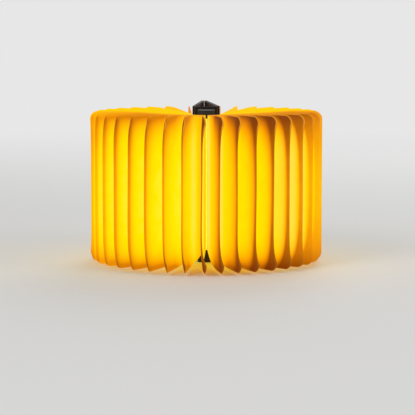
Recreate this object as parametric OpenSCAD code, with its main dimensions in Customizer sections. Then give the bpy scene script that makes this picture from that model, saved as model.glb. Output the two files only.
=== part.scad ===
// Folding book lamp: a hardcover book whose leaves fan right round a light bar in its spine.
// Drawn standing up and fully open, covers back to back behind. Front is -Y, up is +Z.
// The origin is on the table, on the axis that the leaves stand round.

/* [Covers] */
// Height of the covers and the spine
cover_h = 216; // [190:1:260]
// Thickness of the shut book over both covers
closed_t = 32; // [27:0.5:40]
// Thickness of a cover, board and veneer together
cover_t = 3.5; // [2.8:0.1:4.2]
// Thickness of the wood veneer on a cover
veneer_t = 0.6; // [0.4:0.1:1]
// Thickness of the paper lining inside a cover
lining_t = 0.25; // [0.15:0.05:0.4]
// Bare edge round the lining
lining_margin = 2.5; // [1:0.5:6]
// How far the covers reach past the leaves at their outer edge
overhang = 3.8; // [2:0.1:8]
// Radius of a cover's two outer corners
cover_corner_r = 3; // [1:0.5:8]
// Width of soft hinge between the spine and a cover
hinge_w = 4; // [3.5:0.5:6]
// Gap left where the two covers meet behind
meeting_gap = 0.3; // [0.2:0.1:1]

/* [Spine] */
// Thickness of the spine board
spine_t = 3.5; // [2.5:0.5:5]
// Thickness of the book cloth over the spine
cloth_t = 0.4; // [0.3:0.1:0.8]
// How far the cloth laps onto a cover
cloth_lap = 8; // [4:1:16]

/* [Leaves] */
// Number of leaves, half of them on each side
leaf_count = 34; // [26:2:36]
// Length of a leaf from the hub to its outer edge
leaf_len = 142.5; // [110:0.5:175]
// Height of the leaves' lower edges above the table
leaf_lift = 3; // [1:0.5:6]
// How far the leaves stay below the covers' top edges
leaf_drop = 4; // [3:0.5:12]
// Thickness of a leaf, two plies
leaf_t = 0.3; // [0.2:0.05:0.35]
// How far a leaf's top and bottom edges draw in towards the hub
leaf_taper = 9; // [0:0.5:14]
// Share of a leaf's length whose top and bottom edges run level
leaf_level = 0.3; // [0.15:0.05:0.6]
// Radius of a leaf's two outer corners
leaf_corner_r = 14; // [4:0.5:25]
// How far the outer corners curl sideways
leaf_curl = 3.6; // [0:0.1:4.2]
// Share of a leaf's length that lies flat before the curl
curl_start = 0.45; // [0.2:0.05:0.8]
// Width of the rolled lip along a leaf's outer edge
roll_w = 9; // [4:0.5:14]
// Share of the curl that the rolled lip has at mid height
roll_share = 0.5; // [0:0.05:1]
// Angle from the first leaf's outer edge to the last one's
fan_angle = 342; // [300:1:344]
// How much closer the outer edges stand at the front than on average, as a share
front_close = 0.075; // [0:0.005:0.15]
// Gap between neighbouring leaves where they meet the hub at the front
front_gap = 3.0; // [2:0.1:3.2]
// Angle from the front to the last leaf's foot
foot_angle = 104; // [98:1:106]
// Room left in the shut book beside its leaves
shut_room = 3.44; // [2.8:0.01:5]
// How far the shut leaves sit off centre, to leave room for their curled corners
shut_shift = -1; // [-1.5:0.1:0]

/* [Light bar] */
// How far the top of the light bar stays below the covers' top edges
bar_drop = 4; // [2:0.5:10]
// Height of the bottom end cap
foot_cap_h = 17.5; // [14:0.5:24]
// Height of the top end cap
head_cap_h = 11.5; // [8:0.5:20]
// Distance from the leaf axis back to the spine board
bar_back = 8; // [6:0.5:12]
// Wall of the housing and the end caps
wall = 1.8; // [1.2:0.1:2.4]
// Wall of the diffuser
diffuser_wall = 1.6; // [1:0.1:2.2]
// Distance from the leaf axis forward to the seam of housing and diffuser
seam = 6; // [3:0.5:8]
// Floor of an end cap
cap_floor = 2; // [1.5:0.5:3]
// Depth of a cap's lip inside the bar
lip_h = 3; // [2:0.5:5]
// Number of lamps on the light board
led_count = 24; // [12:1:30]
// Width and height of one lamp
led_w = 2.8; // [1.6:0.1:5]
// How far a lamp stands off its board
led_t = 0.8; // [0.5:0.1:2]
// Thickness of both circuit boards
board_t = 1.2; // [0.8:0.1:1.6]
// Thickness of the battery
battery_t = 7; // [5:0.5:8]
// Height of the battery, if the bar has room for it
battery_h = 118; // [80:1:122]
// Thickness of the sticky pad behind the battery
pad_t = 0.8; // [0.5:0.1:1.5]

/* [Magnets and screws] */
// Diameter of a cover magnet
magnet_d = 10; // [6:0.5:14]
// Thickness of a magnet
magnet_t = 2; // [1:0.1:2.2]
// Distance of the cover magnets from the cover's outer edge
magnet_in = 12; // [9:0.5:25]
// Distance of the end magnets from the cover's top and bottom
magnet_end_in = 32.4; // [16:0.1:60]
// Diameter of the screws
screw_d = 2.2; // [1.6:0.1:3]
// Diameter of the screw heads
head_d = 4; // [3:0.1:5]

/* [Fold] */
// How far the left half is folded shut
left_fold = 0; // [0:0.05:1]
// How far the right half is folded shut
right_fold = 0; // [0:0.05:1]

/* [Hidden] */
$fn = 48;
eps = 0.01;
fit_gap = 0.2;         // between pieces that slide together
rest_gap = 0.3;        // between leaf feet, web and light bar
swing_gap = 0.45;      // between a shut cover and the light bar
foot_side_gap = 0.75;  // between the last leaf's foot and its open cover
row_gap = 0.1;         // between the open hub and the shut row of feet
screw_gap = 0.1;       // round a screw that passes through
pilot_gap = 0.05;      // round a screw that bites
cut_gap = 0.3;         // round what passes through the foot cap
magnet_glue = 0.05;    // behind a magnet in its seat

half_t = closed_t / 2;
spine_y = bar_back + spine_t;
hub_r = half_t + cover_t + lining_t + foot_side_gap;
web_t = 0.3;
web_r = hub_r - rest_gap;
bar_r = web_r - web_t - rest_gap;
book_half = half_t - cover_t - lining_t;
bar_half = book_half - swing_gap;

shut_y = -hub_r - row_gap;
cover_w = leaf_len - shut_y + overhang + spine_y - hinge_w;
cover_lean = asin((half_t - meeting_gap / 2) / (hinge_w + cover_w));
cover_swing = 180 + cover_lean;

leaf_h = cover_h - leaf_lift - leaf_drop;
bar_h = cover_h - bar_drop;
window_z = foot_cap_h;
window_top = bar_h - head_cap_h;
window_h = window_top - window_z;

side_count = leaf_count / 2;
sides = ["left", "right"];
NODES = concat(
    ["spine_board", "bar_housing", "diffuser", "foot_cap", "head_cap", "led_board", "leds",
     "battery", "battery_pad", "charge_board", "charge_socket", "cover_switch",
     "bar_screws", "cap_screws"],
    [for (s = sides) each [str(s, "_web"), str(s, "_hinge_cloth"), str(s, "_cover_board"),
                           str(s, "_veneer"), str(s, "_lining"), str(s, "_magnets")]],
    [for (i = [1:leaf_count]) leaf_name(i)]);
node = "all";

function leaf_name(i) = str("leaf_", i < 10 ? "0" : "", i);
function shown(name) = node == "all" || node == name;

// A point in plan at a distance and an angle from the front, turning towards +X.
function plan(r, a) = [r * sin(a), -r * cos(a)];

// Leaves are counted from the middle, so the two at the front are -0.5 and 0.5.
function from_middle(i) = i - (leaf_count + 1) / 2;

// The feet stand furthest apart at the front and close up evenly towards the covers.
foot_arc = foot_angle * PI / 180 * hub_r;
last_step = (leaf_count - 1) / 2;
foot_closing = (front_gap * last_step - foot_arc) / (last_step * last_step);
function foot_turn(k) =
    sign(k) * (front_gap * abs(k) - foot_closing * k * k) / hub_r * 180 / PI;
function foot(i) = plan(hub_r, foot_turn(from_middle(i)));

// The outer edges stand a little closer at the front, each one leaf length from its foot.
function edge_turn(i) =
    let (u = from_middle(i) / last_step)
    fan_angle / 2 * ((1 - front_close) * u + front_close * u * u * u);
function edge_reach(i) =
    let (c = hub_r * cos(edge_turn(i) - foot_turn(from_middle(i))))
    c + sqrt(c * c + leaf_len * leaf_len - hub_r * hub_r);
function leaf_turn(i) =
    let (v = plan(edge_reach(i), edge_turn(i)) - foot(i)) atan2(v[0], -v[1]);

// Shut, the curled leaves nest side by side and share the width inside the book.
shut_pitch = (2 * book_half - leaf_curl - leaf_t - shut_room) / (leaf_count - 1);

// A leaf turns about the one point that takes its foot from the hub to the shut row.
function shut_foot(i) = [shut_shift + from_middle(i) * shut_pitch, shut_y];
function leaf_pivot(i) =
    let (a = foot(i), b = shut_foot(i), d = b - a, k = 1 / tan(leaf_turn(i) / 2) / 2)
    (a + b) / 2 + k * [-d[1], d[0]] * -1;
function leaf_fold(i) = i <= side_count ? left_fold : right_fold;

// Plan of the light bar, drawn in from its outer faces by an inset.
module bar_plan(inset = 0, back = bar_back) {
    intersection() {
        circle(r = bar_r - inset, $fn = 96);
        translate([-bar_half + inset, -bar_r])
            square([2 * (bar_half - inset), bar_r + back - inset]);
    }
}

// Everything behind, or with front set everything before, the seam.
module part_of_plan(front = false, y = -seam) {
    intersection() {
        children();
        translate([-bar_r, front ? y - 2 * bar_r : y])
            square([2 * bar_r, 2 * bar_r]);
    }
}

module between(z0, z1) {
    translate([0, 0, z0]) linear_extrude(z1 - z0) children();
}

// Puts a piece drawn flat along +X, its outer face at y = 0, in a cover's place.
module at_cover(side) {
    fold = side < 0 ? left_fold : right_fold;
    mirror([side < 0 ? 1 : 0, 0, 0])
        translate([half_t, spine_y, 0])
            rotate([0, 0, 90 + cover_lean - cover_swing * fold])
                children();
}

// A sheet from the spine side x0 to x1, with its two outer corners rounded.
module cover_sheet(x0, x1, y0, y1, margin, corner_r) {
    h = cover_h - 2 * margin;
    translate([0, y1, margin]) rotate([90, 0, 0]) linear_extrude(y1 - y0) {
        translate([x0, 0]) square([x1 - x0 - corner_r, h]);
        translate([x0, corner_r]) square([x1 - x0, h - 2 * corner_r]);
        for (z = [corner_r, h - corner_r])
            translate([x1 - corner_r, z]) circle(r = corner_r);
    }
}

cover_x0 = hinge_w;
cover_x1 = hinge_w + cover_w;
magnet_zs = [magnet_end_in, cover_h / 2, cover_h - magnet_end_in];
magnet_seat = magnet_t + magnet_glue;

// Closing magnets along the outer edge, and one by the light bar that tells it the book is shut.
module magnet_places() {
    for (z = magnet_zs) translate([cover_x1 - magnet_in, -veneer_t, z]) rotate([90, 0, 0]) children();
}
module switch_magnet_place() {
    translate([spine_y - switch_y - switch_size[1] / 2, -veneer_t, switch_z])
        rotate([90, 0, 0]) children();
}
switch_magnet_d = 5;
magnet_room = 0.1;

module cover_board(side) {
    color("#3a2a20") at_cover(side) difference() {
        cover_sheet(cover_x0, cover_x1, -cover_t, -veneer_t, 0, cover_corner_r);
        magnet_places() translate([0, 0, -eps])
            cylinder(d = magnet_d + 2 * magnet_room, h = magnet_seat + eps);
        if (side < 0) switch_magnet_place() translate([0, 0, -eps])
            cylinder(d = switch_magnet_d + 2 * magnet_room, h = magnet_seat + eps);
    }
}

module veneer(side) {
    color("#4a2f1f") at_cover(side)
        cover_sheet(cover_x0, cover_x1, -veneer_t, 0, 0, cover_corner_r);
}

module lining(side) {
    color("#f4e3b8") at_cover(side)
        cover_sheet(cover_x0 + lining_margin, cover_x1 - lining_margin,
                    -cover_t - lining_t, -cover_t, lining_margin, cover_corner_r);
}

module magnets(side) {
    color("#c8ccd0") at_cover(side) {
        magnet_places() cylinder(d = magnet_d, h = magnet_t);
        if (side < 0) switch_magnet_place() cylinder(d = switch_magnet_d, h = magnet_t);
    }
}

// Book cloth from the middle of the spine's back, round the hinge and onto the cover.
module hinge_cloth(side) {
    inset = 0.5;
    color("#1d1512") between(inset, cover_h - inset) mirror([side < 0 ? 1 : 0, 0]) {
        translate([rest_gap / 2, spine_y]) square([half_t - rest_gap / 2, cloth_t]);
        translate([half_t, spine_y]) rotate(90 + cover_lean)
            square([hinge_w + cloth_lap, cloth_t]);
    }
}

bar_screw_x = 5.5;
bar_screw_in = [36, 9];      // above the foot cap, and below the head cap
bar_screw_zs = [window_z + bar_screw_in[0], window_top - bar_screw_in[1]];
bar_screw_bite = 4;          // length of thread inside the bar
bar_screw_len = spine_t + wall + bar_screw_bite;
boss_d = 5.6;
boss_len = 4.4;
boss_gap = 2;                // between a boss and the battery

module bar_screw_places() {
    for (x = [-bar_screw_x, bar_screw_x], z = bar_screw_zs)
        translate([x, spine_y, z]) rotate([90, 0, 0]) children();
}

// Countersunk screw: head flush with z = 0, shank running up +Z.
module screw(length, clearance = 0) {
    rise = (head_d - screw_d) / 2;
    cylinder(d1 = head_d + 2 * clearance, d2 = screw_d + 2 * clearance, h = rise);
    cylinder(d = screw_d + 2 * clearance, h = length);
}

module spine_board() {
    color("#2c211b") difference() {
        translate([-half_t + hinge_w, bar_back, 0])
            cube([closed_t - 2 * hinge_w, spine_t, cover_h]);
        bar_screw_places() screw(2 * spine_t, screw_gap);
    }
}

// The battery bay, the ledges that the light board sits on, and the bosses.
ledge = [1.3, 2];
cap_post_d = 4.4;
cap_post_sink = 0.3;         // how far a post is sunk into the wall beside it
cap_post_in = cap_post_d / 2 - cap_post_sink;
cap_screw_bite = 5;
cap_post_x = bar_half - wall - cap_post_in;
cap_post_y = bar_back - wall - cap_post_in;
post_h = 8;

module bar_housing() {
    color("#17161a") difference() {
        union() {
            between(window_z, window_top) difference() {
                part_of_plan() bar_plan();
                part_of_plan(y = -seam - 1) bar_plan(wall);
            }
            between(window_z, window_top) for (s = [-1, 1])
                translate([s * (bar_half - (wall + ledge[0]) / 2) - (wall + ledge[0]) / 2, -seam])
                    square([wall + ledge[0], ledge[1]]);
            bar_screw_places() translate([0, 0, spine_t + wall - eps])
                cylinder(d = boss_d, h = boss_len);
            for (s = [-1, 1], z = [window_z, window_top - post_h])
                translate([s * cap_post_x, cap_post_y, z]) cylinder(d = cap_post_d, h = post_h);
        }
        bar_screw_places() translate([0, 0, spine_t - 1])
            cylinder(d = screw_d + 2 * pilot_gap, h = bar_screw_len);
        for (s = [-1, 1]) translate([s * cap_post_x, cap_post_y, window_z - 1])
            cylinder(d = screw_d + 2 * pilot_gap, h = window_h + 2);
    }
}

module diffuser() {
    color("#fff3c4") between(window_z, window_top) difference() {
        part_of_plan(front = true) bar_plan();
        bar_plan(diffuser_wall, back = bar_back + 1);
    }
}

socket_w = 9;
socket_t = 3.2;
socket_h = 7.4;
socket_z = 1;
socket_reach = 2;            // how far the socket stands out of its board's end
charge_side_gap = 2.3;
charge_w = 2 * (bar_half - wall - charge_side_gap);
charge_z0 = socket_z + socket_reach;
charge_h = 46;
charge_gap = 2.4;            // between the two circuit boards
charge_y = -seam + charge_gap;
socket_y = charge_y - socket_t;
switch_size = [4, 1.2, 3];
switch_in = [1, 4.5];        // from the charging board's side and from its top
switch_y = charge_y - switch_size[1];
switch_z = charge_z0 + charge_h - switch_in[1] - switch_size[2] / 2;

lip_wall = 1;
post_wall = 0.5;
post_notch = [5.4, 6];       // where the lip makes way for the housing's screw posts
post_notch_shift = 1.5;
ledge_notch = [4, 3];        // and for its ledges

// Hollow cap with a floor, two screw posts and a lip that plugs into the bar.
module end_cap(height) {
    difference() {
        union() {
            linear_extrude(height) bar_plan();
            linear_extrude(height + lip_h) bar_plan(wall + fit_gap);
        }
        translate([0, 0, cap_floor]) linear_extrude(height + lip_h) difference() {
            bar_plan(wall + fit_gap + lip_wall);
            for (s = [-1, 1]) translate([s * cap_post_x, cap_post_y])
                circle(d = cap_post_d + 2 * post_wall);
        }
        translate([0, 0, height]) linear_extrude(lip_h + 1)
            for (s = [-1, 1]) {
                translate([s * cap_post_x, cap_post_y]) circle(d = cap_post_d + 2 * fit_gap);
                translate([s * (cap_post_x + post_notch_shift) - post_notch[0] / 2, cap_post_y - 1])
                    square(post_notch);
                translate([s * (bar_half - wall - ledge[0]) - ledge_notch[0] / 2, -seam - fit_gap])
                    square(ledge_notch);
            }
        for (s = [-1, 1]) translate([s * cap_post_x, cap_post_y, 0]) screw(height + 1, screw_gap);
    }
}

module foot_cap() {
    color("#141318") difference() {
        end_cap(foot_cap_h);
        translate([-socket_w / 2 - cut_gap, socket_y - cut_gap, -1])
            cube([socket_w + 2 * cut_gap, socket_t + 2 * cut_gap, cap_floor + 2]);
        translate([-charge_w / 2 - cut_gap, charge_y - cut_gap, charge_z0 - cut_gap])
            cube([charge_w + 2 * cut_gap, board_t + 2 * cut_gap, foot_cap_h + lip_h]);
    }
}

module head_cap() {
    color("#141318") translate([0, 0, bar_h]) mirror([0, 0, 1]) end_cap(head_cap_h);
}

board_gap = 1;
led_end_in = 6;
led_board_w = 2 * (bar_half - diffuser_wall) - 2 * fit_gap;

module led_board() {
    color("#e9ecec") translate([-led_board_w / 2, -seam - board_t, window_z + lip_h + board_gap])
        cube([led_board_w, board_t, window_h - 2 * (lip_h + board_gap)]);
}

module leds() {
    first = window_z + lip_h + led_end_in;
    pitch = (window_h - 2 * (lip_h + led_end_in)) / (led_count - 1);
    color("#ffe27a") for (i = [0:led_count - 1])
        translate([-led_w / 2, -seam - board_t - led_t, first + i * pitch - led_w / 2])
            cube([led_w, led_t, led_w]);
}

battery_side_gap = 1.5;
battery_edge_flat = 0.5;
battery_z = bar_screw_zs[0] + boss_d / 2 + boss_gap;
battery_w = 2 * (bar_half - wall - battery_side_gap);
battery_top = min(battery_z + battery_h, bar_screw_zs[1] - boss_d / 2 - boss_gap);
pad_y = bar_back - wall - pad_t;
pad_in = 4;

// Flat pouch cell, its long edges rounded.
module battery() {
    r = battery_t / 2 - battery_edge_flat;
    color("#9aa3ad") between(battery_z, battery_top)
        translate([0, pad_y - battery_t]) {
            translate([-battery_w / 2 + r, 0]) square([battery_w - 2 * r, battery_t]);
            translate([-battery_w / 2, r]) square([battery_w, battery_t - 2 * r]);
            for (x = [-battery_w / 2 + r, battery_w / 2 - r], y = [r, battery_t - r])
                translate([x, y]) circle(r = r);
        }
}

module battery_pad() {
    pad_w = battery_w - battery_t;
    color("#e8e4da") between(battery_z + pad_in, battery_top - pad_in)
        translate([-pad_w / 2, pad_y]) square([pad_w, pad_t]);
}

module charge_board() {
    color("#1f5b3a") translate([-charge_w / 2, charge_y, charge_z0])
        cube([charge_w, board_t, charge_h]);
}

// Hollow socket with a tongue, its mouth facing down.
module charge_socket() {
    shell = 0.35;
    tongue_t = 0.7;
    tongue_in = 1;
    back_t = 1;
    r = socket_t / 2;
    color("#b9bcc2") translate([0, socket_y + r, socket_z]) {
        difference() {
            linear_extrude(socket_h) oblong(socket_w, socket_t);
            translate([0, 0, -back_t]) linear_extrude(socket_h)
                oblong(socket_w - 2 * shell, socket_t - 2 * shell);
        }
        translate([-socket_w / 2 + r, -tongue_t / 2, tongue_in])
            cube([socket_w - 2 * r, tongue_t, socket_h - tongue_in - back_t / 2]);
    }
}

module oblong(w, t) {
    square([w - t, t], center = true);
    for (s = [-1, 1]) translate([s * (w - t) / 2, 0]) circle(d = t);
}

// Small sensor that lights the lamp when its magnet leaves it.
module cover_switch() {
    color("#26262b") translate([-charge_w / 2 + switch_in[0], switch_y, switch_z - switch_size[2] / 2])
        cube(switch_size);
}

module bar_screws() {
    color("#a9acb3") bar_screw_places() screw(bar_screw_len);
}

module cap_screws() {
    color("#a9acb3") for (s = [-1, 1]) {
        translate([s * cap_post_x, cap_post_y, 0]) screw(foot_cap_h + cap_screw_bite);
        translate([s * cap_post_x, cap_post_y, bar_h]) mirror([0, 0, 1]) screw(head_cap_h + cap_screw_bite);
    }
}

web_split = 0.4;             // degrees from the middle of the front to each half
web_past = 1;                // degrees that it reaches past the last foot

// Half of the soft web that the leaves are bound to: it wraps the front and side of the light bar.
module web(side) {
    turn = foot_turn(last_step) + web_past;
    color("#ffe9a8") mirror([side < 0 ? 1 : 0, 0, 0]) rotate([0, 0, -90 + web_split])
        rotate_extrude(angle = turn - web_split, $fn = 96)
            translate([web_r - web_t, window_z]) square([web_t, window_h]);
}

// Columns of a leaf: a few to where the corners start, then round the corners.
corner_steps = 4;
leaf_columns = concat(
    [for (share = [0, 0.25, 0.5, 0.72]) share * (leaf_len - leaf_corner_r)],
    [for (k = [0:corner_steps]) leaf_len - leaf_corner_r * (1 - sin(90 * k / corner_steps))]);
row_steps = 4;
leaf_rows = [for (k = [-row_steps:row_steps]) sin(90 * k / row_steps)];

// Half height of a leaf at a distance from its foot.
function leaf_half(x) =
    let (level_x = leaf_len * (1 - leaf_level),
         taper = leaf_taper * max(0, 1 - x / level_x),
         c = max(0, x - (leaf_len - leaf_corner_r)),
         corner = leaf_corner_r - sqrt(leaf_corner_r * leaf_corner_r - c * c))
    leaf_h / 2 - taper - corner;

// The outer edge rolls over in a narrow lip, and towards the top and bottom corners a wide part of
// the leaf curls with it. Both grow with the square of the way out.
function leaf_bend(x, row) =
    let (out = max(0, (x / leaf_len - curl_start) / (1 - curl_start)),
         roll = max(0, 1 - (leaf_len - x) / roll_w))
    leaf_curl * (roll_share * roll * roll + (1 - roll_share) * out * out * pow(abs(row), 2.5));

// Both faces of a leaf lying along +X, as one closed mesh.
module leaf_sheet() {
    nx = len(leaf_columns);
    nz = len(leaf_rows);
    faces_gap = [-leaf_t / 2, leaf_t / 2];
    points = [for (f = faces_gap, x = leaf_columns, row = leaf_rows)
        [x, leaf_bend(x, row) + f, leaf_lift + leaf_h / 2 + row * leaf_half(x)]];
    function at(f, a, b) = (f * nx + a) * nz + b;
    function pair(a, b, c, d) = [[a, b, c], [a, c, d]];
    near = [for (a = [0:nx - 2], b = [0:nz - 2])
        each pair(at(0, a, b), at(0, a, b + 1), at(0, a + 1, b + 1), at(0, a + 1, b))];
    far = [for (a = [0:nx - 2], b = [0:nz - 2])
        each pair(at(1, a, b), at(1, a + 1, b), at(1, a + 1, b + 1), at(1, a, b + 1))];
    long_edges = [for (a = [0:nx - 2]) each concat(
        pair(at(0, a, 0), at(0, a + 1, 0), at(1, a + 1, 0), at(1, a, 0)),
        pair(at(0, a + 1, nz - 1), at(0, a, nz - 1), at(1, a, nz - 1), at(1, a + 1, nz - 1)))];
    short_edges = [for (b = [0:nz - 2]) each concat(
        pair(at(0, 0, b + 1), at(0, 0, b), at(1, 0, b), at(1, 0, b + 1)),
        pair(at(0, nx - 1, b), at(0, nx - 1, b + 1), at(1, nx - 1, b + 1), at(1, nx - 1, b)))];
    polyhedron(points, concat(near, far, long_edges, short_edges));
}

module leaf(i) {
    pivot = leaf_pivot(i);
    color("#ffb92e") translate([pivot[0], pivot[1], 0]) rotate([0, 0, -leaf_turn(i) * leaf_fold(i)])
        translate([foot(i)[0] - pivot[0], foot(i)[1] - pivot[1], 0])
            rotate([0, 0, leaf_turn(i) - 90]) leaf_sheet();
}

if (shown("spine_board")) spine_board();
if (shown("bar_housing")) bar_housing();
if (shown("diffuser")) diffuser();
if (shown("foot_cap")) foot_cap();
if (shown("head_cap")) head_cap();
if (shown("led_board")) led_board();
if (shown("leds")) leds();
if (shown("battery")) battery();
if (shown("battery_pad")) battery_pad();
if (shown("charge_board")) charge_board();
if (shown("charge_socket")) charge_socket();
if (shown("cover_switch")) cover_switch();
if (shown("bar_screws")) bar_screws();
if (shown("cap_screws")) cap_screws();
if (shown("left_web")) web(-1);
if (shown("right_web")) web(1);
if (shown("left_hinge_cloth")) hinge_cloth(-1);
if (shown("right_hinge_cloth")) hinge_cloth(1);
if (shown("left_cover_board")) cover_board(-1);
if (shown("right_cover_board")) cover_board(1);
if (shown("left_veneer")) veneer(-1);
if (shown("right_veneer")) veneer(1);
if (shown("left_lining")) lining(-1);
if (shown("right_lining")) lining(1);
if (shown("left_magnets")) magnets(-1);
if (shown("right_magnets")) magnets(1);
for (i = [1:leaf_count]) if (shown(leaf_name(i))) leaf(i);
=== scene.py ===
# Folding book lamp, lit and opened right round: spun-paper leaves on a soft web about a light bar,
# covers back to back behind. Sizes in the dictionaries are millimetres, meshes are metres.
import bpy
import math
import numpy as np
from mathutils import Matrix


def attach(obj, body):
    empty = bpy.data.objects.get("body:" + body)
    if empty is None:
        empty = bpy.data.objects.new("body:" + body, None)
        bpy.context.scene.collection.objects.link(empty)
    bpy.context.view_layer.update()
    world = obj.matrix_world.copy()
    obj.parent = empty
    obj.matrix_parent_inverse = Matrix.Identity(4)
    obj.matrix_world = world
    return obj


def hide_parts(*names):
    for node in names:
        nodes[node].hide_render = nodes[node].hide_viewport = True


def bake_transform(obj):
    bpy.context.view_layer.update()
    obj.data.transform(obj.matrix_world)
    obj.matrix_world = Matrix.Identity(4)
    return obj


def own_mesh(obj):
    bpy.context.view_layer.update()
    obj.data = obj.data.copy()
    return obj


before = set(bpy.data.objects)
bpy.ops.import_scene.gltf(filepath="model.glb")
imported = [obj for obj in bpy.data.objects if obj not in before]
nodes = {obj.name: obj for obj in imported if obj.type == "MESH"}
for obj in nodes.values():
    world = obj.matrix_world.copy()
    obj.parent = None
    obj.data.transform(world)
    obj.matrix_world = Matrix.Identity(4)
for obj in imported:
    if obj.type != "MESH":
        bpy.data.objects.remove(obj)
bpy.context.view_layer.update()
mm = 0.001
uvSpan = 210  # millimetres of paper across a whole UV map


class Wire:
    # One output socket. Arithmetic on it adds Math nodes to its finish.
    def __init__(self, finish, socket):
        self.finish, self.socket = finish, socket

    def __add__(self, other):
        return self.finish.math("ADD", self, other)

    def __sub__(self, other):
        return self.finish.math("SUBTRACT", self, other)

    def __rsub__(self, other):
        return self.finish.math("SUBTRACT", other, self)

    def __mul__(self, other):
        return self.finish.math("MULTIPLY", self, other)

    __radd__ = __add__


def socketName(key):  # BaseColor is the socket Base Color
    return "".join(" " + c if c.isupper() else c for c in key).strip().replace("Ior", "IOR")


class Graph:
    # A node tree, for a finish or for the world.
    def __init__(self, tree):
        self.tree = tree
        tree.nodes.clear()

    def add(self, kind, settings=None, inputs=None, out=0, keepNode=False):
        # Any node: its settings first, then the values or links of its sockets.
        node = self.tree.nodes.new(kind)
        for key, value in (settings or {}).items():
            if key == "stops":
                ramp = node.color_ramp
                while len(ramp.elements) > 1:
                    ramp.elements.remove(ramp.elements[-1])
                ramp.elements[0].position, ramp.elements[0].color = value[0][0], (*value[0][1], 1)
                for place, tone in value[1:]:
                    ramp.elements.new(place).color = (*tone, 1)
            else:
                setattr(node, key, value)
        for key, value in (inputs or {}).items():
            if isinstance(value, Wire):
                self.tree.links.new(value.socket, node.inputs[key])
            else:
                node.inputs[key].default_value = value
        return node if keepNode else Wire(self, node.outputs[out])

    def math(self, operation, *values, clamp=False):
        return self.add("ShaderNodeMath", {"operation": operation, "use_clamp": clamp},
                        dict(enumerate(values)))

    def smooth(self, value, low, high):
        return self.add("ShaderNodeMapRange", {"interpolation_type": "SMOOTHSTEP"},
                        {"Value": value, "From Min": low, "From Max": high})

    def mix(self, factor, a, b, blend="MIX"):
        a, b = ((*x, 1) if isinstance(x, tuple) else x for x in (a, b))
        return self.add("ShaderNodeMix", {"data_type": "RGBA", "blend_type": blend},
                        {0: factor, 6: a, 7: b}, out=2)

    def ramp(self, value, *stops):
        return self.add("ShaderNodeValToRGB", {"stops": stops}, {"Fac": value})

    def places(self, scale=(1, 1, 1), source="Object"):
        # Where a point is, stretched: Object coordinates in metres, or the piece's own UV map.
        point = self.add("ShaderNodeTexCoord", out=source)
        return self.add("ShaderNodeMapping", None, {"Vector": point, "Scale": scale})

    def noise(self, where, scale, detail=3.0, rough=0.5, warp=0.0):
        return self.add("ShaderNodeTexNoise", {"noise_dimensions": "3D"},
                        {"Vector": where, "Scale": scale, "Detail": detail,
                         "Roughness": rough, "Distortion": warp})

    def cells(self, where, scale, spread=1.0):
        return self.add("ShaderNodeTexVoronoi", {"feature": "F1"},
                        {"Vector": where, "Scale": scale, "Randomness": spread}, out="Distance")

    def waves(self, where, scale, direction="X", warp=0.0, detail=0.0):
        return self.add("ShaderNodeTexWave", {"wave_type": "BANDS", "bands_direction": direction,
                                              "wave_profile": "SIN"},
                        {"Vector": where, "Scale": scale, "Distortion": warp, "Detail": detail}, out=1)

    def attribute(self, name):
        return self.add("ShaderNodeAttribute", {"attribute_name": name}, out="Fac")

    def seen(self):
        # 1 where the camera, a reflection or clear plastic looks straight at it.
        rays = [self.add("ShaderNodeLightPath", out=f"Is {kind} Ray")
                for kind in ("Camera", "Glossy", "Transmission")]
        return self.math("MAXIMUM", self.math("MAXIMUM", rays[0], rays[1]), rays[2])


class Finish(Graph):
    # A material: one Principled shader, and the nodes that feed it.
    def __init__(self, name, **uniform):
        self.material = bpy.data.materials.new(name)
        self.material.use_nodes = True
        super().__init__(self.material.node_tree)
        self.shader = self.add("ShaderNodeBsdfPrincipled")
        self.inputs = self.shader.socket.node.inputs
        self.output = self.add("ShaderNodeOutputMaterial", None, {"Surface": self.shader},
                               keepNode=True)
        for key, value in uniform.items():
            self.inputs[socketName(key)].default_value = value

    def feed(self, **values):
        for key, value in values.items():
            self.tree.links.new(value.socket, self.inputs[socketName(key)])
        return self

    def bump(self, height, depth, strength=1.0):
        # depth is the height of a full step, in metres.
        lumps = self.add("ShaderNodeBump", None,
                         {"Height": height, "Distance": depth, "Strength": strength})
        return self.feed(Normal=lumps)


def paint(finish, *names):
    for name in names:
        held = nodes[name].data.materials
        held.clear()
        held.append(finish.material)


def closedSheet(name, lower, upper, finish, uv=None, attributes=None):
    # A sheet with two faces and a rim, from two grids of points (columns, rows, 3) in metres.
    # Seen from the upper side the columns run to the right and the rows up.
    nx, nz = lower.shape[:2]
    half = nx * nz
    at = np.arange(half).reshape(nx, nz)
    a, b, c, d = at[:-1, :-1], at[1:, :-1], at[1:, 1:], at[:-1, 1:]
    upperFaces = np.stack([a, b, c, d], -1).reshape(-1, 4) + half
    lowerFaces = np.stack([a, d, c, b], -1).reshape(-1, 4)
    ring = np.concatenate([at[:-1, 0], at[-1, :-1], at[:0:-1, -1], at[0, :0:-1]])
    after = np.roll(ring, -1)
    rim = np.stack([ring, after, after + half, ring + half], -1)
    faces = np.concatenate([lowerFaces, upperFaces, rim])
    points = np.concatenate([lower.reshape(-1, 3), upper.reshape(-1, 3)])
    mesh = bpy.data.meshes.new(name)
    mesh.from_pydata(points.tolist(), [], faces.tolist())
    mesh.polygons.foreach_set("use_smooth", np.ones(len(faces), bool))
    if uv is not None:
        both = np.concatenate([uv.reshape(-1, 2)] * 2)
        mesh.uv_layers.new(name="sheet").data.foreach_set("uv", both[faces.ravel()].ravel())
    for key, values in (attributes or {}).items():
        mesh.attributes.new(key, "FLOAT", "POINT").data.foreach_set("value", values.astype(np.float32))
    mesh.materials.append(finish.material)
    mesh.update()
    piece = bpy.data.objects.new(name, mesh)
    bpy.context.scene.collection.objects.link(piece)
    return piece


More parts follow.
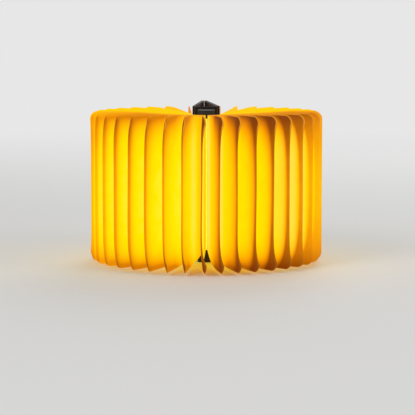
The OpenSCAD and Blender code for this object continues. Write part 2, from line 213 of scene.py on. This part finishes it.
def smoothstep(low, high, x):
    t = np.clip((x - low) / (high - low), 0, 1)
    return t * t * (3 - 2 * t)


# The photo's view. axisPixel is where the lamp's axis stands in a picture of so many pixels.
view = {"away": 2558, "height": 344.7, "azimuth": -0.95, "pitch": 6.02, "lens": 159.3, "sensor": 36,
        "picture": 415, "axisPixel": 206.3, "clip": (0.05, 60)}


def makeCamera():
    data = bpy.data.cameras.new("photoView")
    camera = bpy.data.objects.new("photoView", data)
    bpy.context.scene.collection.objects.link(camera)
    data.lens, data.sensor_width = view["lens"], view["sensor"]
    data.clip_start, data.clip_end = view["clip"]
    a = math.radians(view["azimuth"])
    away = view["away"] * mm
    camera.location = (away * math.sin(a), -away * math.cos(a), view["height"] * mm)
    pixels = view["picture"] * view["lens"] / view["sensor"]
    aside = view["axisPixel"] - view["picture"] / 2  # the lamp stands a little left of centre
    yaw = a + math.atan(aside / pixels)
    camera.rotation_euler = (math.radians(90 - view["pitch"]), 0, yaw)
    bpy.context.scene.camera = camera


# In metres. Each lamp has its place, size and power; the floor fades out between the two radii.
studio = {"ambient": 0.5, "background": 0.8,
          "lamps": {"key": ((-1.7, -1.9, 1.9), 1.5, 20), "fill": ((2.1, -1.2, 1.3), 1.5, 10),
                    "back": ((0.6, 2.2, 1.7), 1.6, 14)}, "aim": (0, 0, 0.1),
          "floor": 0.80, "fade": (0.5, 3.0), "floorRadius": 60, "rings": 30, "spokes": 96}


def makeStudio():
    scene = bpy.context.scene
    scene.view_settings.view_transform = "Standard"
    world = bpy.data.worlds.new("studio")
    scene.world = world
    world.use_nodes = True
    sky = Graph(world.node_tree)
    level = sky.seen() * (studio["background"] - studio["ambient"]) + studio["ambient"]
    glow = sky.add("ShaderNodeBackground", None, {"Color": (1, 1, 1, 1), "Strength": level})
    sky.add("ShaderNodeOutputWorld", None, {"Surface": glow}, keepNode=True)
    for name, (place, size, power) in studio["lamps"].items():
        data = bpy.data.lights.new(name, "AREA")
        data.shape, data.size, data.energy = "DISK", size, power
        lamp = bpy.data.objects.new(name, data)
        scene.collection.objects.link(lamp)
        lamp.location = place
        toward = np.array(studio["aim"]) - np.array(place)
        lamp.rotation_euler = (math.atan2(math.hypot(toward[0], toward[1]), -toward[2]), 0,
                               math.atan2(toward[1], toward[0]) - math.pi / 2)


def makeFloor():
    # Rings of points at the floor's radius * share cubed, finer towards the lamp.
    size = studio["rings"], studio["spokes"]
    turn = np.linspace(0, 2 * math.pi, studio["spokes"] + 1)[:-1]
    radius = studio["floorRadius"] * np.linspace(0.05, 1, studio["rings"]) ** 3
    rings = np.stack([radius[:, None] * np.cos(turn), radius[:, None] * np.sin(turn),
                      np.zeros(size)], -1).reshape(-1, 3)
    at = np.arange(len(rings)).reshape(size)
    beside = np.roll(at, -1, 1)
    quads = np.stack([at[:-1], at[1:], beside[1:], beside[:-1]], -1).reshape(-1, 4).tolist()
    mesh = bpy.data.meshes.new("floor")
    mesh.from_pydata(rings.tolist(), [], quads + [at[0].tolist()])
    floor = bpy.data.objects.new("floor", mesh)
    bpy.context.scene.collection.objects.link(floor)
    pale = Finish("paleFloor", Roughness=0.75, SpecularIorLevel=0.2)
    soft = pale.noise(pale.places(), 1.3, 3)
    tone = studio["floor"]
    pale.feed(BaseColor=pale.mix(soft, (tone, tone, tone * 0.99),
                                 (tone * 1.02, tone * 1.02, tone * 1.01)))
    # Further out the floor takes on the backdrop's tone, so that no edge shows.
    out = pale.add("ShaderNodeVectorMath", {"operation": "LENGTH"}, {0: pale.places()}, out="Value")
    far = pale.smooth(out, *studio["fade"]) * pale.seen()
    backdrop = pale.add("ShaderNodeEmission", None,
                        {"Color": (1, 1, 1, 1), "Strength": studio["background"]})
    both = pale.add("ShaderNodeMixShader", None, {0: far, 1: pale.shader, 2: backdrop})
    pale.tree.links.new(both.socket, pale.output.inputs["Surface"])
    mesh.materials.append(pale.material)


makeCamera()
makeStudio()
makeFloor()
print("camera, studio and floor made")


# Angles are degrees round the fan, from 0 at its front. fan is the angle from the first leaf's outer
# edge to the last one's, and frontClose draws the edges together at the front. The outer share level
# of the upper edge is level. The bow grows over bowGrows and fades out between bowFades, and the lean
# of the two front leaves fades over leanFades. curlVaries is how much the curl of the corners differs
# from leaf to leaf. The first and the last leaf lie against the covers and have only the shares
# flatRoll and flatCurl of the roll and curl.
leaves = {"count": 34, "length": 142.5, "lift": 3, "height": 207.6, "thick": 0.3,
          "fan": 342, "frontClose": 0.075, "hub": 20.5, "frontGap": 3.0, "footAngle": 104,
          "headTaper": 5, "level": 0.3, "footTaper": 13, "corner": 11,
          "roll": 1.7, "rollWidth": 9, "flatRoll": 0.3,
          "bow": 5.6, "bowGrows": 12, "bowFades": (80, 130), "frontLean": 2.6, "leanFades": 8,
          "cornerCurl": (5.8, 5.2), "curlPower": 8, "curlStart": 0.3, "curlVaries": 0.16,
          "flatCurl": 0.06, "ripple": 0.5, "rippleWaves": (31, 23), "phaseStep": 2.399,
          "keep": 0.06, "columns": 56, "rows": 71}

# A painted light line along the rim of a leaf, where its two plies are bonded: where it ends inwards,
# where it fades below the head, what is left of it at the foot, the angles between which it fades out, and
# its strength on sides a and b.
rimLightLine = {"width": (0.6, 1.5), "ends": (12, 34), "foot": 0.15, "fades": (60, 100), "sides": (0.5, 0.9)}

# How brightly the paper glows, from 0 to 1. Side a of a leaf faces anticlockwise seen from above,
# the way its outer edge rolls, and side b clockwise. Side a glows at the level deep inside the fan
# and rim near the outer edge, side b at fore and lip. Each of these lines is a falloff from the head
# or the foot: the level there, the level far away, how far it stays at the first, and the reach of
# the change, in mm.
light = {"deep": {"head": (0.53, 0.955, 3, 13), "foot": (0.56, 0.955, 4, 11)},
         "rim": {"head": (0.48, 0.83, 8, 33), "foot": (0.53, 0.82, 5, 16)},
         "fore": {"head": (0.46, 0.915, 1, 13), "foot": (0.50, 0.915, 4, 12)},
         "lip": {"head": (0.21, 0.52, 0, 33), "foot": (0.25, 0.52, 0, 33)},
         # Width of rim and of lip (a falloff too), and how far the roll shifts them at most.
         "rimWidth": 5.5, "lipWidth": (28.5, 5.5, 0, 19), "lipShift": 3.3, "mostShift": 4.3,
         # From there to the inner level: the least reach, and how much longer it is in front, on
         # the two front leaves and at the head.
         "reachA": (3, 37, 0, 9), "reachB": (3, 20, 33, 15), "frontStays": 13, "frontFades": 12,
         "twoFade": 8, "headReach": 42, "headFades": (24, 52),
         # Nearer to the bar than so many mm from the edge, the ends count as further away.
         "nearBar": (50, 0.35),
         # A brighter head of the rim and its reach, and a darker line along the edge.
         "headGlow": (0.11, 5), "edgeShade": (0.21, 2.0, 5.5),
         # Darker by a share deep inside, on leaves up to an angle.
         "innerShade": (0.16, 76, 112), "innerShadeTo": 40,
         # More light on rim and lip at the sides of the fan, gone at the rear but for a share.
         "sideRim": (0.13, 45, 75), "sideLip": (0.27, 30, 78), "rearLip": 0.35, "rear": (98, 122),
         # The rear leaves glow up to their heads: level, angles, mm from the head, and the drop
         # next to the covers.
         "rearHead": 0.84, "rearHeadGrows": (66, 104), "rearHeadWay": (14, 40),
         "lastHead": (0.25, 156, 168),
         # The nearly white light: strength, place and width in mm inwards, in front on each side,
         # what the two front leaves have more, and the strength, angles and place at the sides.
         "paleA": (0.55, 71, 10), "paleB": (0.7, 99, 9), "paleFirst": (0.3, 41, 7),
         "paleMiddle": (10, 70), "paleFront": (14, 26), "firstFades": (5, 14),
         "paleSide": 0.6, "paleSideGrows": (34, 56), "paleSideFrom": (10, 17)}


def leafFeetAndTurns():
    # Feet stand on the hub circle, furthest apart at the front. With u from -1 to 1 round the fan, the
    # outer edges stand at fan/2 * ((1-c) u + c u^3), each one leaf length from its foot.
    s = leaves
    k = np.arange(1, s["count"] + 1) - (s["count"] + 1) / 2
    last = (s["count"] - 1) / 2
    arc = math.radians(s["footAngle"]) * s["hub"]
    closing = (s["frontGap"] * last - arc) / last ** 2
    footTurn = np.sign(k) * (s["frontGap"] * abs(k) - closing * k * k) / s["hub"]
    u = k / last
    edgeTurn = math.radians(s["fan"]) / 2 * ((1 - s["frontClose"]) * u + s["frontClose"] * u ** 3)
    c = s["hub"] * np.cos(edgeTurn - footTurn)
    reach = c + np.sqrt(c * c + s["length"] ** 2 - s["hub"] ** 2)
    feet = s["hub"] * np.stack([np.sin(footTurn), -np.cos(footTurn)], -1)
    tips = reach[:, None] * np.stack([np.sin(edgeTurn), -np.cos(edgeTurn)], -1)
    way = tips - feet
    return feet, np.arctan2(way[:, 1], way[:, 0]), np.degrees(edgeTurn)


def spunPaper():
    # Two plies of spun fibre paper with the bar's light behind, its glow all painted light and shade: lit
    # says how much light comes through, pale marks a painted highlight where the light is nearly white,
    # and the third attribute a painted light line along the rim, where the plies are bonded.
    f = Finish("spunPaper", Roughness=0.72, SpecularIorLevel=0.08, EmissionStrength=1.0)
    where = f.places()
    cloud = f.noise(where, 55, 4, 0.6)
    strand = f.noise(f.places((1, 1, 0.35)), 420, 3, 0.65, 1.6)
    fibres = f.math("ABSOLUTE", strand - 0.5) * 2
    lit = f.attribute("lit") + (cloud - 0.5) * 0.07 - (fibres - 0.2) * 0.05
    glow = f.ramp(lit, (0.24, (0.0, 0.0, 0.0)), (0.33, (0.06, 0.012, 0.0)), (0.39, (0.13, 0.042, 0.0)),
                  (0.47, (0.28, 0.09, 0.0)), (0.53, (0.44, 0.14, 0.0)), (0.59, (0.55, 0.20, 0.0)),
                  (0.65, (0.69, 0.27, 0.0)), (0.745, (0.78, 0.41, 0.0)), (0.86, (0.81, 0.61, 0.0)),
                  (0.94, (0.82, 0.77, 0.0)), (1.0, (0.84, 0.86, 0.06)))
    nearWhite = f.mix(f.attribute("pale"), glow, (0.75, 0.70, 0.10))
    f.feed(EmissionColor=f.mix(f.attribute("seam"), nearWhite, (0.62, 0.27, 0.015)),
           # The base colour is orange-brown where the real paper is white: the lit paper's look, painted
           # light.
           BaseColor=f.mix(cloud * 0.6 + fibres * 0.4, (0.29, 0.075, 0.004), (0.23, 0.055, 0.003)))
    return f.bump(fibres + cloud * 0.8, 0.00012, 0.6)


def falloff(line, away):
    # From its first level to its second, with 1 - exp(-way / reach).
    edge, far, start, reach = line
    return far - (far - edge) * np.exp(-np.maximum(0, away - start) / reach)


def leafLight(angle, inward, fromHead, fromFoot):
    # lit and pale of sides a and b. Each side goes from its edge level to its inner level.
    s = light
    around = abs(angle)
    beside = 1 - smoothstep(*s["rear"], around)  # 0 at the rear
    # The rolled edge hides part of side a and shows more of side b, most so on the front leaves.
    cot = min(s["mostShift"], max(0, 1 / math.tan(math.radians(max(around, 5)))))
    shift = s["lipShift"] * cot * (1 - np.maximum(0, 1 - inward / leaves["rollWidth"]) ** 2)
    insideA, insideB = np.maximum(inward - shift, 0), inward + shift
    # Near the bar the ends are nearly as bright as the middle.
    closer = s["nearBar"][1] * np.maximum(0, inward - s["nearBar"][0])
    fromHead, fromFoot = fromHead + closer, fromFoot + closer
    ends = np.minimum(fromHead, fromFoot)
    # In front the light reaches less far out towards the head.
    nearHead = np.exp(-fromHead / s["headReach"]) * (1 - smoothstep(*s["headFades"], around))

    def level(name):
        return np.minimum(falloff(s[name]["head"], fromHead), falloff(s[name]["foot"], fromFoot))

    def reach(name):
        least, inFront, onTwo, atHead = s[name]
        return (least + inFront * math.exp(-max(0, around - s["frontStays"]) / s["frontFades"])
                + onTwo * math.exp(-(around / s["twoFade"]) ** 2) + atHead * nearHead)

    more, way = s["headGlow"]
    rim = level("rim") + more * np.exp(-(fromHead / way) ** 2)
    share, *edge = s["edgeShade"]
    rim = rim * (1 - share + share * smoothstep(*edge, insideA))
    more, *angles = s["sideRim"]
    rim = rim + more * beside * smoothstep(*angles, around)
    share, *way = s["innerShade"]
    deep = level("deep") * (1 - share * smoothstep(*way, insideA) * (around < s["innerShadeTo"]))
    litA = falloff((rim, np.maximum(deep, rim), s["rimWidth"], reach("reachA")), insideA)

    more, *angles = s["sideLip"]
    more = more * (s["rearLip"] + (1 - s["rearLip"]) * beside)
    lip = level("lip") + more * smoothstep(*angles, around)
    width = falloff(s["lipWidth"], ends)
    litB = falloff((lip, np.maximum(level("fore"), lip), width, reach("reachB")), insideB)

    # The rear leaves are seen from inside the fan, and glow up to their heads.
    atHead = smoothstep(*s["rearHeadGrows"], around) * (1 - smoothstep(*s["rearHeadWay"], fromHead))
    drop, *angles = s["lastHead"]
    bright = s["rearHead"] - drop * smoothstep(*angles, around)
    litA, litB = litA + (bright - litA) * atHead, litB + (bright - litB) * atHead

    middle = smoothstep(*s["paleMiddle"], ends)
    front = 1 - smoothstep(*s["paleFront"], around)
    first = 1 - smoothstep(*s["firstFades"], around)  # the two leaves at the front
    strength, place, width = s["paleA"]
    paleA = front * strength * np.exp(-((insideA - place) / width) ** 2) * middle
    strength, place, width = (base + more * first for base, more in zip(s["paleB"], s["paleFirst"]))
    paleB = front * strength * np.exp(-((insideB - place) / width) ** 2) * middle
    side = s["paleSide"] * beside * smoothstep(*s["paleSideGrows"], around)
    paleB = np.maximum(paleB, side * smoothstep(*s["paleSideFrom"], insideB) * middle)
    return litA, litB, paleA, paleB


def makeLeaf(number, foot, turn, angle, paper):
    # Point = foot + x along the leaf + bend across it, at a height between the lower and the upper
    # edge. The edges draw in towards the hub, the lower one with the cube of the way to it, and round
    # off at the outer corners. Columns and rows close up with the square of the way to the edge.
    # bend = roll * (share of the lip)^2 - bow * (way out)^2 + corner curl * (way out)^2 * |row|^power
    # + a faint ripple of its own for each leaf.
    s = leaves
    x = s["length"] * (1 - np.linspace(1, 0, s["columns"]) ** 2)[:, None]
    t = np.linspace(-1, 1, s["rows"])[None, :]
    row = np.sign(t) * (1 - (1 - abs(t)) ** 2)
    inward = s["length"] - x
    around = abs(angle)
    last = number in (1, s["count"])  # these two lie nearly flat against the covers

    lower = s["footTaper"] * (inward / s["length"]) ** 3
    upper = s["height"] - s["headTaper"] * np.maximum(0, 1 - x / (s["length"] * (1 - s["level"])))
    past = np.maximum(0, s["corner"] - inward)
    rounding = s["corner"] - np.sqrt(s["corner"] ** 2 - past ** 2)
    z = lower + rounding + (row + 1) / 2 * (upper - lower - 2 * rounding)

    lip = np.maximum(0, 1 - inward / s["rollWidth"])
    out = np.maximum(0, (x / s["length"] - s["curlStart"]) / (1 - s["curlStart"]))
    roll = s["roll"] * (s["flatRoll"] if last else 1)
    phase = number * s["phaseStep"]
    curl = s["flatCurl"] if last else 1 + s["curlVaries"] * math.sin(1.3 * phase)
    curl = curl * np.where(row < 0, *s["cornerCurl"])
    bow = (math.copysign(s["bow"], angle) * (1 - math.exp(-around / s["bowGrows"]))
           * (1 - smoothstep(*s["bowFades"], around)))
    bow = bow - s["frontLean"] * math.exp(-(around / s["leanFades"]) ** 2)
    rise, run = s["rippleWaves"]
    ripple = s["ripple"] * out ** 2 * np.sin(z / rise + phase) * np.cos(x / run + 1.7 * phase)
    bend = roll * lip ** 2 + (curl * abs(row) ** s["curlPower"] - bow) * out ** 2 + ripple

    # Distances from the rim: inside a rectangle with round corners.
    fromHead, fromFoot = upper - z, z - lower
    below = np.minimum(fromHead, fromFoot)
    r = s["corner"]
    atCorner = (inward < r) & (below < r)
    fromRim = np.where(atCorner, r - np.hypot(r - inward, r - below), np.minimum(inward + 0 * z, below))
    litA, litB, paleA, paleB = leafLight(angle, inward + 0 * z, fromHead, fromFoot)
    # A painted light line along the rim of the leaf, strongest below the head and faint at the foot.
    seam = rimLightLine
    nearEnd = (1 - smoothstep(*seam["ends"], fromHead)
               + seam["foot"] * (1 - smoothstep(*seam["ends"], fromFoot)))
    rimLine = (1 - smoothstep(*seam["width"], fromRim)) * nearEnd * (1 - smoothstep(*seam["fades"], around))
    rimLightA, rimLightB = (rimLine * strength for strength in seam["sides"])

    along = np.array([math.cos(turn), math.sin(turn)])
    aside = np.array([-math.sin(turn), math.cos(turn)])
    sides = []
    for half in (0.5, -0.5):
        plan = (foot + x[..., None] * along) + (bend + half * s["thick"])[..., None] * aside
        sides.append(np.dstack([plan[..., 0] + 0 * z, plan[..., 1] + 0 * z, s["lift"] + z]) * mm)
    uv = np.dstack([x + 0 * z, z]) / uvSpan
    # Seen from side b the columns run away from the hub to the right and the rows up.
    name = f"leafSheet{number:02d}"
    piece = closedSheet(name, *sides, paper, uv, {
        "lit": np.concatenate([litA.ravel(), litB.ravel()]),
        "seam": np.concatenate([rimLightA.ravel(), rimLightB.ravel()]),
        "pale": np.concatenate([paleA.ravel(), paleB.ravel()])})
    node = f"leaf_{number:02d}"
    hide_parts(node)
    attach(piece, node)
    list(foot * mm)
    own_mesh(piece)


paper = spunPaper()
feet, turns, angles = leafFeetAndTurns()
for i in range(leaves["count"]):
    makeLeaf(i + 1, feet[i], turns[i], angles[i], paper)
print("leaves made:", leaves["count"])


# pleatShade is how much darker the web is along a pleat, and endShade at its ends, where it fades
# with exp(-endReach * share of the height).
web = {"radius": 20.2, "thick": 0.3, "low": 17.5, "high": 200.5, "pleat": 0.24, "pleatWidth": 0.55,
       "pleatShade": 0.4, "endShade": 0.5, "endReach": 30, "startAngle": 0.4, "pastLast": 1.0,
       "columns": 181, "rows": 41, "keep": 0.59}


def webPaper():
    f = Finish("webPaper", Roughness=0.7, SpecularIorLevel=0.25, EmissionStrength=1.0)
    cloud = f.noise(f.places(), 70, 4, 0.6)
    # The glow is painted light, with painted shade along each pleat and towards the ends; the base colour
    # is orange where the real paper is white, the lit look painted in too.
    glow = f.ramp(f.attribute("lit") + (cloud - 0.5) * 0.12, (0.0, (0.35, 0.12, 0.0)),
                  (0.5, (0.75, 0.5, 0.01)), (1.0, (0.84, 0.66, 0.015)))
    f.feed(EmissionColor=glow, BaseColor=f.mix(cloud, (0.5, 0.3, 0.02), (0.42, 0.24, 0.015)))
    return f.bump(cloud, 0.0001, 0.5)


def makeWeb(side, finish):
    # A band round the bar. Its radius rises in a narrow pleat, exp(-(distance / width)^2), at
    # every foot.
    footAngles = np.arctan2(abs(feet[:, 0]), -feet[:, 1])[leaves["count"] // 2:]
    angle = np.linspace(math.radians(web["startAngle"]), footAngles[-1] + math.radians(web["pastLast"]),
                        web["columns"])
    apart = (angle[:, None] - footAngles[None, :]) * web["radius"]
    near = np.exp(-(apart / web["pleatWidth"]) ** 2).sum(1)
    height = np.linspace(web["low"], web["high"], web["rows"])
    faces = []
    for radius in (web["radius"] - web["thick"], web["radius"]):
        r = radius + web["pleat"] * near
        plan = np.stack([side * r * np.sin(angle), -r * np.cos(angle)], -1)
        faces.append(np.concatenate([np.repeat(plan[:, None, :], web["rows"], 1),
                                     np.broadcast_to(height[None, :, None], (len(angle), web["rows"], 1))],
                                    -1) * mm)
    share = (height - web["low"]) / (web["high"] - web["low"])
    dark = web["endShade"] * np.exp(-np.minimum(share, 1 - share) * web["endReach"])
    lit = (1 - web["pleatShade"] * near[:, None]) * (1 - dark)[None, :]
    uv = np.dstack(np.meshgrid(angle * web["radius"], height, indexing="ij")) / uvSpan
    if side < 0:  # run the columns the other way, so that the outer face still points outwards
        faces, lit, uv = [f[::-1] for f in faces], lit[::-1], uv[::-1]
    name = "left" if side < 0 else "right"
    piece = closedSheet(name + "WebBand", faces[0], faces[1], finish, uv,
                        {"lit": np.concatenate([lit.ravel()] * 2)})
    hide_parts(name + "_web")
    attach(piece, "spine")
    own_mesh(piece)


webFinish = webPaper()
makeWeb(-1, webFinish)
makeWeb(1, webFinish)
print("web made")


cloth = {"thick": 0.4, "glue": 0.03, "middle": 0.15, "half": 16, "spineY": 11.5, "lean": 5.09718,
         "reach": 12, "bend": 2.2, "low": 0.5, "high": 215.5, "steps": (14, 9, 12), "rows": 61}


def bookCloth():
    f = Finish("bookCloth", Roughness=0.9, SpecularIorLevel=0.2, SheenWeight=0.08, SheenRoughness=0.5)
    threads = f.places((900, 900, 900), source="UV")
    warp = f.waves(threads, 0.32, "X", 0.4, 1)
    weft = f.waves(threads, 0.32, "Y", 0.4, 1)
    over = f.math("MAXIMUM", warp, weft)
    slub = f.noise(f.places((60, 700, 1), source="UV"), 1.0, 2)
    f.feed(BaseColor=f.mix(over * 0.7 + slub * 0.3, (0.005, 0.004, 0.0035), (0.026, 0.019, 0.016)))
    return f.bump(over + slub * 0.4, 0.00012, 0.7)


def makeHingeCloth(side, finish):
    # Path in plan: along the spine board's back, round a small curve at the hinge,
    # (1-b)^2 p0 + 2 b (1-b) p1 + b^2 p2, and out on the cover.
    s = cloth
    lean = math.radians(90 + s["lean"])
    away = np.array([math.cos(lean), math.sin(lean)])
    corner = np.array([s["half"], s["spineY"]])
    onSpine, onBend, onCover = s["steps"]
    flat = np.linspace(s["middle"], s["half"] - s["bend"], onSpine)
    out = np.linspace(s["bend"], s["reach"], onCover)
    p0, p1, p2 = np.array([flat[-1], s["spineY"]]), corner, corner + away * out[0]
    b = np.linspace(0, 1, onBend + 2)[1:-1, None]
    arc = (1 - b) ** 2 * p0 + 2 * b * (1 - b) * p1 + b * b * p2
    path = np.concatenate([np.stack([flat, 0 * flat + s["spineY"]], -1), arc,
                           corner + away * out[:, None]])
    step = np.gradient(path, axis=0)
    normal = np.stack([-step[:, 1], step[:, 0]], -1)
    normal /= np.linalg.norm(normal, axis=1)[:, None]
    length = np.concatenate([[0], np.cumsum(np.linalg.norm(np.diff(path, axis=0), axis=1))])
    height = np.linspace(s["low"], s["high"], s["rows"])
    faces = []
    for lift in (s["glue"], s["thick"]):
        plan = (path + normal * lift) * np.array([side, 1])
        faces.append(np.concatenate([np.repeat(plan[:, None, :], s["rows"], 1),
                                     np.broadcast_to(height[None, :, None], (len(plan), s["rows"], 1))],
                                    -1) * mm)
    uv = np.dstack(np.meshgrid(length, height, indexing="ij")) * mm
    if side > 0:
        faces, uv = [f[::-1] for f in faces], uv[::-1]
    name = "left" if side < 0 else "right"
    piece = closedSheet(name + "HingeCloth", faces[0], faces[1], finish, uv)
    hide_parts(name + "_hinge_cloth")
    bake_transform(piece)


clothFinish = bookCloth()
makeHingeCloth(-1, clothFinish)
makeHingeCloth(1, clothFinish)
print("hinge cloths made")


def walnutVeneer():
    f = Finish("walnutVeneer", Roughness=0.42, SpecularIorLevel=0.45, CoatWeight=0.12, CoatRoughness=0.3)
    along = f.places((1, 1, 0.07))
    figure = f.noise(along, 38, 4, 0.55, 0.9)
    lines = f.noise(f.places((1, 1, 0.025)), 420, 4, 0.7, 0.3)
    pores = f.smooth(f.noise(f.places((1, 1, 0.03)), 1500, 2, 0.6), 0.56, 0.68)
    tone = figure * 0.62 + lines * 0.38
    wood = f.ramp(tone, (0.28, (0.030, 0.014, 0.009)), (0.46, (0.075, 0.036, 0.021)),
                  (0.58, (0.125, 0.066, 0.038)), (0.74, (0.20, 0.115, 0.066)))
    f.feed(BaseColor=f.mix(pores * 0.6, wood, (0.022, 0.011, 0.007)),
           Roughness=0.36 + lines * 0.16 + pores * 0.2)
    return f.bump(lines * 0.5 - pores, 0.00008, 0.6)


def stainedBoard():
    f = Finish("stainedBoard", Roughness=0.85, SpecularIorLevel=0.25)
    plies = f.noise(f.places((1, 1, 0.2)), 900, 3, 0.6)
    specks = f.noise(f.places(), 260, 4, 0.7)
    f.feed(BaseColor=f.mix(plies * 0.5 + specks * 0.5, (0.009, 0.006, 0.0045), (0.036, 0.023, 0.016)),
           Roughness=0.75 + specks * 0.2)
    return f.bump(plies + specks * 0.5, 0.0001, 0.6)


def liningPaper():
    f = Finish("liningPaper", Roughness=0.8, SpecularIorLevel=0.25)
    cloud = f.noise(f.places(), 30, 4, 0.6)
    fibre = f.noise(f.places((1, 1, 0.3)), 700, 3, 0.6, 1.0)
    f.feed(BaseColor=f.mix(cloud * 0.6 + fibre * 0.4, (0.86, 0.79, 0.64), (0.93, 0.88, 0.76)))
    return f.bump(fibre, 0.00005, 0.6)


def blackPlastic():
    f = Finish("blackPlastic", Roughness=0.5, SpecularIorLevel=0.35)
    grain = f.noise(f.places(), 2600, 2, 0.5)
    cloud = f.noise(f.places(), 45, 3, 0.5)
    f.feed(BaseColor=f.mix(cloud, (0.006, 0.006, 0.0065), (0.013, 0.0125, 0.013)),
           Roughness=0.42 + grain * 0.22)
    return f.bump(grain, 0.00004, 0.7)


def opalPlastic():
    # Lamps behind show as faint bright patches, one for each lamp along the bar.
    f = Finish("opalPlastic", Roughness=0.35, SpecularIorLevel=0.5, EmissionStrength=1.0)
    patches = f.waves(f.places(), 20.4, "Z")
    cloud = f.noise(f.places(), 60, 3)
    glow = f.mix(patches * 0.7 + cloud * 0.3, (0.72, 0.58, 0.10), (0.95, 0.88, 0.34))
    return f.feed(EmissionColor=glow, BaseColor=f.mix(cloud, (0.80, 0.70, 0.45), (0.88, 0.80, 0.55)))


def circuitBoard(name, mask, copper, roughness):
    f = Finish(name, Roughness=roughness, SpecularIorLevel=0.5)
    tracks = f.waves(f.places(), 130)
    pads = f.cells(f.places((1, 1, 0.6)), 420, spread=0.3)
    lines = f.smooth(tracks, 0.55, 0.7) * f.smooth(f.noise(f.places(), 90, 1), 0.45, 0.55)
    spots = 1 - f.smooth(pads, 0.12, 0.2)
    f.feed(BaseColor=f.mix(f.math("MAXIMUM", lines * 0.5, spots * 0.8), mask, copper),
           Roughness=roughness + spots * -0.15)
    return f.bump(lines + spots, 0.00003, 0.6)


def lampYellow():
    f = Finish("lampYellow", Roughness=0.25, EmissionStrength=1.0)
    cloud = f.noise(f.places(), 900, 2)
    return f.feed(BaseColor=f.mix(cloud, (0.85, 0.62, 0.12), (0.95, 0.78, 0.25)),
                  EmissionColor=f.mix(cloud, (0.85, 0.70, 0.25), (1.0, 0.92, 0.5)))


def chipBlack():
    f = Finish("chipBlack", Roughness=0.55)
    grain = f.noise(f.places(), 3000, 2)
    f.feed(BaseColor=f.mix(grain, (0.018, 0.018, 0.02), (0.045, 0.045, 0.05)), Roughness=0.5 + grain * 0.2)
    return f.bump(grain, 0.00003, 0.6)


def cellFoil():
    f = Finish("cellFoil", Metallic=0.85, Roughness=0.38)
    creases = f.noise(f.places(), 120, 4, 0.6, 0.6)
    f.feed(BaseColor=f.mix(creases, (0.48, 0.50, 0.53), (0.68, 0.70, 0.72)),
           Roughness=0.28 + creases * 0.25)
    return f.bump(creases, 0.0002, 0.5)


def padFoam():
    f = Finish("padFoam", Roughness=0.9, SpecularIorLevel=0.2)
    pits = f.cells(f.places(), 1400)
    f.feed(BaseColor=f.mix(pits, (0.62, 0.60, 0.55), (0.86, 0.84, 0.79)))
    return f.bump(pits, 0.0002, 0.6)


def brightMetal(name, low, high, roughness, scale, stretch=(1, 1, 1)):
    f = Finish(name, Metallic=1.0, Roughness=roughness)
    marks = f.noise(f.places(stretch), scale, 3, 0.6)
    f.feed(BaseColor=f.mix(marks, low, high), Roughness=roughness - 0.08 + marks * 0.18)
    return f.bump(marks, 0.00002, 0.5)


paint(walnutVeneer(), "left_veneer", "right_veneer")
paint(stainedBoard(), "left_cover_board", "right_cover_board", "spine_board")
paint(liningPaper(), "left_lining", "right_lining")
paint(blackPlastic(), "bar_housing", "foot_cap", "head_cap")
paint(opalPlastic(), "diffuser")
paint(circuitBoard("lampBoardWhite", (0.78, 0.79, 0.77), (0.70, 0.62, 0.45), 0.35), "led_board")
paint(circuitBoard("chargeBoardGreen", (0.012, 0.085, 0.035), (0.60, 0.42, 0.18), 0.3), "charge_board")
paint(lampYellow(), "leds")
paint(chipBlack(), "cover_switch")
paint(cellFoil(), "battery")
paint(padFoam(), "battery_pad")
paint(brightMetal("socketSteel", (0.52, 0.53, 0.55), (0.66, 0.67, 0.69), 0.28, 1200, (1, 1, 0.1)),
      "charge_socket")
paint(brightMetal("nickelPlating", (0.62, 0.61, 0.60), (0.74, 0.73, 0.71), 0.18, 500),
      "left_magnets", "right_magnets")
paint(brightMetal("zincScrews", (0.42, 0.43, 0.45), (0.62, 0.63, 0.65), 0.34, 1500),
      "bar_screws", "cap_screws")
print("finishes of the CAD nodes made")
